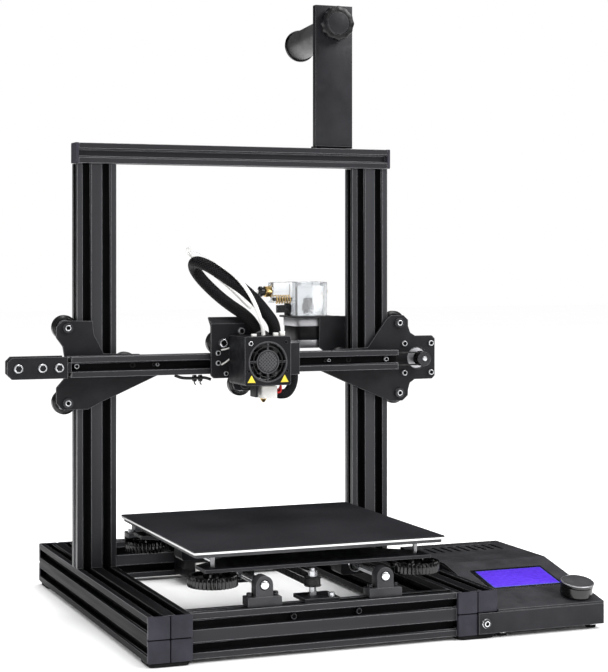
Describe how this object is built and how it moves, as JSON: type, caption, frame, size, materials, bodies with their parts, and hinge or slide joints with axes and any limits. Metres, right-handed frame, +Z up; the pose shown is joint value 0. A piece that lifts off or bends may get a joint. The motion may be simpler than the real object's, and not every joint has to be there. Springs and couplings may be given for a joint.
{
  "type": "fdm printer",
  "caption": "Desktop filament printer: slotted black frame, bed sliding on rods, gantry on two uprights, carriage with fan cover, control box beside the base.",
  "frame": {"origin": "on the floor under the middle of the whole machine", "axes": "+X to the machine's right, +Y to its rear, +Z up"},
  "size_m": [0.5243, 0.4198, 0.616],
  "materials": {
    "profile": "satin black anodised extrusion",
    "plate": "fine textured black powder coat",
    "sheet": "satin dark grey powder coat",
    "cap": "fine moulded grain",
    "plastic": "satin moulded",
    "wheel": "smooth dark acetal",
    "steel": "ground",
    "pulley": "machined",
    "brass": "machined",
    "motor": "satin black with bare ends",
    "belt": "matt ribbed",
    "heater": "matt",
    "print_surface": "fine grained matt coating",
    "clear": "clear polished",
    "cover": "satin black",
    "heat_sink": "machined",
    "screen": "backlit window",
    "knob": "dark with bright rim",
    "sleeve": "braided",
    "tube": "smooth white"
  },
  "bodies": {
    "frame": {"left_rail": "profile", "right_rail": "profile", "front_crossbeam": "profile", "rear_crossbeam": "profile", "corner_front_left": "cap", "corner_front_right": "cap", "corner_rear_left": "cap", "corner_rear_right": "cap", "left_upright": "profile", "right_upright": "profile", "top_bar": "profile", "spool_holder": "sheet", "guide_rod_left": "steel", "guide_rod_right": "steel", "bed_motor": "motor", "bed_belt": "belt", "z_motor": "motor", "case_tray": "plate", "case_lid": "plate", "lcd_screen": "screen"},
    "bed": {"bed_carrier": "plate", "heated_bed": "heater", "print_plate": "print_surface"},
    "gantry": {"x_beam": "profile", "gantry_plate_left": "plate", "gantry_plate_right": "plate", "belt_tensioner": "plate", "x_belt": "belt", "x_motor": "motor", "extruder_mount": "plate", "extruder_motor": "motor", "extruder_body": "clear", "feed_tube": "tube"},
    "carriage": {"carriage_plate": "plate", "fan_cover": "cover", "hot_end": "heat_sink", "harness": "sleeve"},
    "spool_knob": {"spool_knob": "plastic"},
    "bed_belt_idler": {"bed_belt_idler": "pulley"},
    "level_knob_front_left": {"level_knob_front_left": "plastic"},
    "level_knob_front_right": {"level_knob_front_right": "plastic"},
    "level_knob_rear_left": {"level_knob_rear_left": "plastic"},
    "level_knob_rear_right": {"level_knob_rear_right": "plastic"},
    "gantry_wheel_left_upper": {"gantry_wheel_left_upper": "wheel"},
    "gantry_wheel_left_lower": {"gantry_wheel_left_lower": "wheel"},
    "gantry_wheel_left_inner": {"gantry_wheel_left_inner": "wheel"},
    "gantry_wheel_right_upper": {"gantry_wheel_right_upper": "wheel"},
    "gantry_wheel_right_lower": {"gantry_wheel_right_lower": "wheel"},
    "gantry_wheel_right_inner": {"gantry_wheel_right_inner": "wheel"},
    "x_idler": {"x_idler": "pulley"},
    "x_pulley": {"x_pulley": "pulley"},
    "drive_gear": {"drive_gear": "brass"},
    "extruder_lever": {"extruder_lever": "plastic"},
    "lead_screw": {"lead_screw": "steel"},
    "carriage_wheel_left": {"carriage_wheel_left": "wheel"},
    "carriage_wheel_right": {"carriage_wheel_right": "wheel"},
    "carriage_wheel_lower": {"carriage_wheel_lower": "wheel"},
    "fan_rotor": {"fan_rotor": "plastic"},
    "encoder_shaft": {"encoder_shaft": "steel"},
    "encoder_knob": {"encoder_knob": "knob"}
  },
  "joints": [
    {"name": "z_lift", "type": "slide", "parent": "frame", "child": "gantry", "axis": [0, 0, 1], "range_m": [-0.113, 0.137]},
    {"name": "x_travel", "type": "slide", "parent": "gantry", "child": "carriage", "axis": [1, 0, 0], "range_m": [-0.1165, 0.1035], "deforming": ["feed_tube"]},
    {"name": "y_travel", "type": "slide", "parent": "frame", "child": "bed", "axis": [0, 1, 0], "range_m": [-0.054, 0.162]},
    {"name": "lead_screw_turn", "type": "hinge", "parent": "frame", "child": "lead_screw", "pos_m": [0.1301, 0.0859, 0.2], "axis": [0, 0, 1], "continuous": true},
    {"name": "gantry_wheel_left_upper_turn", "type": "hinge", "parent": "gantry", "child": "gantry_wheel_left_upper", "pos_m": [-0.1969, 0.0529, 0.283], "axis": [0, 1, 0], "continuous": true},
    {"name": "gantry_wheel_left_lower_turn", "type": "hinge", "parent": "gantry", "child": "gantry_wheel_left_lower", "pos_m": [-0.1969, 0.0529, 0.209], "axis": [0, 1, 0], "continuous": true},
    {"name": "gantry_wheel_left_inner_turn", "type": "hinge", "parent": "gantry", "child": "gantry_wheel_left_inner", "pos_m": [-0.1349, 0.0529, 0.2455], "axis": [0, 1, 0], "continuous": true},
    {"name": "gantry_wheel_right_upper_turn", "type": "hinge", "parent": "gantry", "child": "gantry_wheel_right_upper", "pos_m": [0.1611, 0.0529, 0.283], "axis": [0, 1, 0], "continuous": true},
    {"name": "gantry_wheel_right_lower_turn", "type": "hinge", "parent": "gantry", "child": "gantry_wheel_right_lower", "pos_m": [0.1611, 0.0529, 0.209], "axis": [0, 1, 0], "continuous": true},
    {"name": "gantry_wheel_right_inner_turn", "type": "hinge", "parent": "gantry", "child": "gantry_wheel_right_inner", "pos_m": [0.0991, 0.0529, 0.2455], "axis": [0, 1, 0], "continuous": true},
    {"name": "carriage_wheel_left_turn", "type": "hinge", "parent": "carriage", "child": "carriage_wheel_left", "pos_m": [-0.0449, 0.0269, 0.2665], "axis": [0, 1, 0], "continuous": true},
    {"name": "carriage_wheel_right_turn", "type": "hinge", "parent": "carriage", "child": "carriage_wheel_right", "pos_m": [0.0011, 0.0269, 0.2665], "axis": [0, 1, 0], "continuous": true},
    {"name": "carriage_wheel_lower_turn", "type": "hinge", "parent": "carriage", "child": "carriage_wheel_lower", "pos_m": [-0.0219, 0.0269, 0.2245], "axis": [0, 1, 0], "continuous": true},
    {"name": "x_pulley_turn", "type": "hinge", "parent": "gantry", "child": "x_pulley", "pos_m": [0.1824, 0.0269, 0.2455], "axis": [0, 1, 0], "continuous": true},
    {"name": "x_idler_turn", "type": "hinge", "parent": "gantry", "child": "x_idler", "pos_m": [-0.2509, 0.0269, 0.2455], "axis": [0, 1, 0], "continuous": true},
    {"name": "bed_belt_idler_turn", "type": "hinge", "parent": "frame", "child": "bed_belt_idler", "pos_m": [-0.0224, -0.1751, 0.059], "axis": [0, 0, 1], "continuous": true},
    {"name": "level_knob_front_left_turn", "type": "hinge", "parent": "bed", "child": "level_knob_front_left", "pos_m": [-0.1169, -0.1721, 0.067], "axis": [0, 0, 1], "continuous": true},
    {"name": "level_knob_front_right_turn", "type": "hinge", "parent": "bed", "child": "level_knob_front_right", "pos_m": [0.0811, -0.1721, 0.067], "axis": [0, 0, 1], "continuous": true},
    {"name": "level_knob_rear_left_turn", "type": "hinge", "parent": "bed", "child": "level_knob_rear_left", "pos_m": [-0.1169, 0.0299, 0.067], "axis": [0, 0, 1], "continuous": true},
    {"name": "level_knob_rear_right_turn", "type": "hinge", "parent": "bed", "child": "level_knob_rear_right", "pos_m": [0.0811, 0.0299, 0.067], "axis": [0, 0, 1], "continuous": true},
    {"name": "fan_spin", "type": "hinge", "parent": "carriage", "child": "fan_rotor", "pos_m": [-0.0154, -0.0334, 0.25], "axis": [0, 1, 0], "continuous": true},
    {"name": "drive_gear_turn", "type": "hinge", "parent": "gantry", "child": "drive_gear", "pos_m": [0.07725, 0.08805, 0.303], "axis": [0, 0, 1], "continuous": true},
    {"name": "extruder_lever_press", "type": "hinge", "parent": "gantry", "child": "extruder_lever", "pos_m": [0.0516, 0.0809, 0.298], "axis": [0, 0, -1], "range_deg": [0, 12], "stiffness_Nm_per_rad": 0.2, "springref_deg": -8.59},
    {"name": "spool_knob_turn", "type": "hinge", "parent": "frame", "child": "spool_knob", "pos_m": [0.0899, 0.0349, 0.5965], "axis": [0, 1, 0], "continuous": true},
    {"name": "encoder_press", "type": "slide", "parent": "frame", "child": "encoder_shaft", "axis": [0, 0.206, -0.9785], "range_m": [0, 0.0008], "stiffness_N_per_m": 1500, "springref_m": -0.0007},
    {"name": "encoder_turn", "type": "hinge", "parent": "encoder_shaft", "child": "encoder_knob", "pos_m": [0.2421, -0.1901, 0.02998], "axis": [0, -0.206, 0.9785], "continuous": true}
  ],
  "couplings": [
    {"joint": "lead_screw_turn", "follows": "z_lift", "rad_per_m": -785.4},
    {"joint": "gantry_wheel_left_upper_turn", "follows": "z_lift", "rad_per_m": 90.909},
    {"joint": "gantry_wheel_left_lower_turn", "follows": "z_lift", "rad_per_m": 90.909},
    {"joint": "gantry_wheel_left_inner_turn", "follows": "z_lift", "rad_per_m": -90.909},
    {"joint": "gantry_wheel_right_upper_turn", "follows": "z_lift", "rad_per_m": -90.909},
    {"joint": "gantry_wheel_right_lower_turn", "follows": "z_lift", "rad_per_m": -90.909},
    {"joint": "gantry_wheel_right_inner_turn", "follows": "z_lift", "rad_per_m": 90.909},
    {"joint": "carriage_wheel_left_turn", "follows": "x_travel", "rad_per_m": 90.909},
    {"joint": "carriage_wheel_right_turn", "follows": "x_travel", "rad_per_m": 90.909},
    {"joint": "carriage_wheel_lower_turn", "follows": "x_travel", "rad_per_m": -90.909},
    {"joint": "x_pulley_turn", "follows": "x_travel", "rad_per_m": -157.08},
    {"joint": "x_idler_turn", "follows": "x_travel", "rad_per_m": -157.08},
    {"joint": "bed_belt_idler_turn", "follows": "y_travel", "rad_per_m": -157.08}
  ]
}
